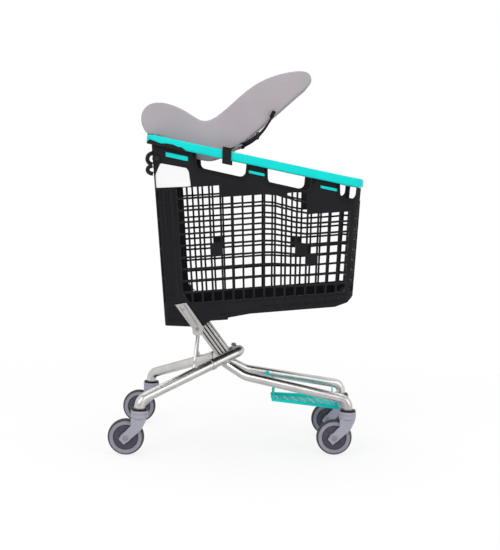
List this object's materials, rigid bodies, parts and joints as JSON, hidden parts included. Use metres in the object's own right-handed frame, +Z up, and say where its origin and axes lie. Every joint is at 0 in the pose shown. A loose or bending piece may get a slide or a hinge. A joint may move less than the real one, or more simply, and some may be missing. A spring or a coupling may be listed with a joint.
{
  "type": "shopping cart",
  "caption": "Self-service shopping cart with moulded grid basket, steel tube chassis on swivel castors, swinging rear gate, lower tray and strapped infant seat.",
  "frame": {"origin": "on the floor, at the middle of the bottom of the bounding box", "axes": "+X to the front of the cart, +Y to its left side, +Z up"},
  "size_m": [0.857, 0.576, 1.3261],
  "materials": {
    "tyre": "satin grey rubber",
    "wheel_ring": "light grey moulded nylon",
    "wheel_cover": "dark grey moulded cover",
    "fork_grey": "light lavender grey moulded fork",
    "steel": "machined steel",
    "tube_steel": "bright zinc plated and lacquered tube",
    "black_plastic": "fine textured black moulding",
    "teal_plastic": "teal moulding",
    "white_plate": "plain white plate",
    "seat_foam": "soft touch grey moulded foam",
    "seat_fabric": "woven grey cover",
    "webbing": "black woven strap",
    "buckle_red": "red button"
  },
  "bodies": {
    "cart": {"basket_front": "black_plastic", "basket_side_left": "black_plastic", "basket_side_right": "black_plastic", "basket_skids": "black_plastic", "basket_tub": "black_plastic", "carrier_arm_left": "tube_steel", "carrier_arm_right": "tube_steel", "front_leg_left": "tube_steel", "front_leg_right": "tube_steel", "gate_pins": "steel", "harness_buckle": "black_plastic", "harness_straps": "webbing", "head_bar": "tube_steel", "label_plates": "white_plate", "leg_collars": "tube_steel", "lower_tray": "teal_plastic", "mast": "tube_steel", "mast_struts": "tube_steel", "rear_leg_left": "tube_steel", "rear_leg_right": "tube_steel", "rim": "teal_plastic", "rim_inserts": "teal_plastic", "seat_brackets": "black_plastic", "seat_liner": "seat_fabric", "seat_shell": "seat_foam", "swivel_pins": "steel", "swivel_seals": "black_plastic", "tie_straps": "webbing", "tray_pegs": "teal_plastic", "tray_wires": "teal_plastic", "yoke_bolts": "steel", "yoke_tube": "tube_steel"},
    "rear_left_swivel": {"rear_left_fork": "fork_grey", "rear_left_axle": "steel"},
    "rear_left_wheel": {"rear_left_hub": "wheel_ring", "rear_left_tyre": "tyre", "rear_left_hub_covers": "wheel_cover", "rear_left_bearings": "steel"},
    "rear_right_swivel": {"rear_right_fork": "fork_grey", "rear_right_axle": "steel"},
    "rear_right_wheel": {"rear_right_hub": "wheel_ring", "rear_right_tyre": "tyre", "rear_right_hub_covers": "wheel_cover", "rear_right_bearings": "steel"},
    "front_left_swivel": {"front_left_fork": "fork_grey", "front_left_axle": "steel"},
    "front_left_wheel": {"front_left_hub": "wheel_ring", "front_left_tyre": "tyre", "front_left_hub_covers": "wheel_cover", "front_left_bearings": "steel"},
    "front_right_swivel": {"front_right_fork": "fork_grey", "front_right_axle": "steel"},
    "front_right_wheel": {"front_right_hub": "wheel_ring", "front_right_tyre": "tyre", "front_right_hub_covers": "wheel_cover", "front_right_bearings": "steel"},
    "gate": {"rear_gate": "black_plastic"},
    "button": {"buckle_button": "buckle_red"}
  },
  "joints": [
    {"name": "rear_left_swivel_turn", "type": "hinge", "parent": "cart", "child": "rear_left_swivel", "pos_m": [-0.322, 0.2585, 0.15], "axis": [0, 0, 1], "continuous": true},
    {"name": "rear_left_wheel_roll", "type": "hinge", "parent": "rear_left_swivel", "child": "rear_left_wheel", "pos_m": [-0.366, 0.2585, 0.0625], "axis": [0, 1, 0], "continuous": true},
    {"name": "rear_right_swivel_turn", "type": "hinge", "parent": "cart", "child": "rear_right_swivel", "pos_m": [-0.322, -0.2585, 0.15], "axis": [0, 0, 1], "continuous": true},
    {"name": "rear_right_wheel_roll", "type": "hinge", "parent": "rear_right_swivel", "child": "rear_right_wheel", "pos_m": [-0.366, -0.2585, 0.0625], "axis": [0, 1, 0], "continuous": true},
    {"name": "front_left_swivel_turn", "type": "hinge", "parent": "cart", "child": "front_left_swivel", "pos_m": [0.399, 0.151, 0.15], "axis": [0, 0, 1], "continuous": true},
    {"name": "front_left_wheel_roll", "type": "hinge", "parent": "front_left_swivel", "child": "front_left_wheel", "pos_m": [0.355, 0.151, 0.0625], "axis": [0, 1, 0], "continuous": true},
    {"name": "front_right_swivel_turn", "type": "hinge", "parent": "cart", "child": "front_right_swivel", "pos_m": [0.399, -0.151, 0.15], "axis": [0, 0, 1], "continuous": true},
    {"name": "front_right_wheel_roll", "type": "hinge", "parent": "front_right_swivel", "child": "front_right_wheel", "pos_m": [0.355, -0.151, 0.0625], "axis": [0, 1, 0], "continuous": true},
    {"name": "rear_gate_swing", "type": "hinge", "parent": "cart", "child": "gate", "pos_m": [-0.29389, 0, 1.012], "axis": [0, -1, 0], "range_deg": [0, 72]},
    {"name": "buckle_button_press", "type": "slide", "parent": "cart", "child": "button", "axis": [0.6707, 0, -0.7417], "range_m": [0, 0.003], "stiffness_N_per_m": 400}
  ]
}
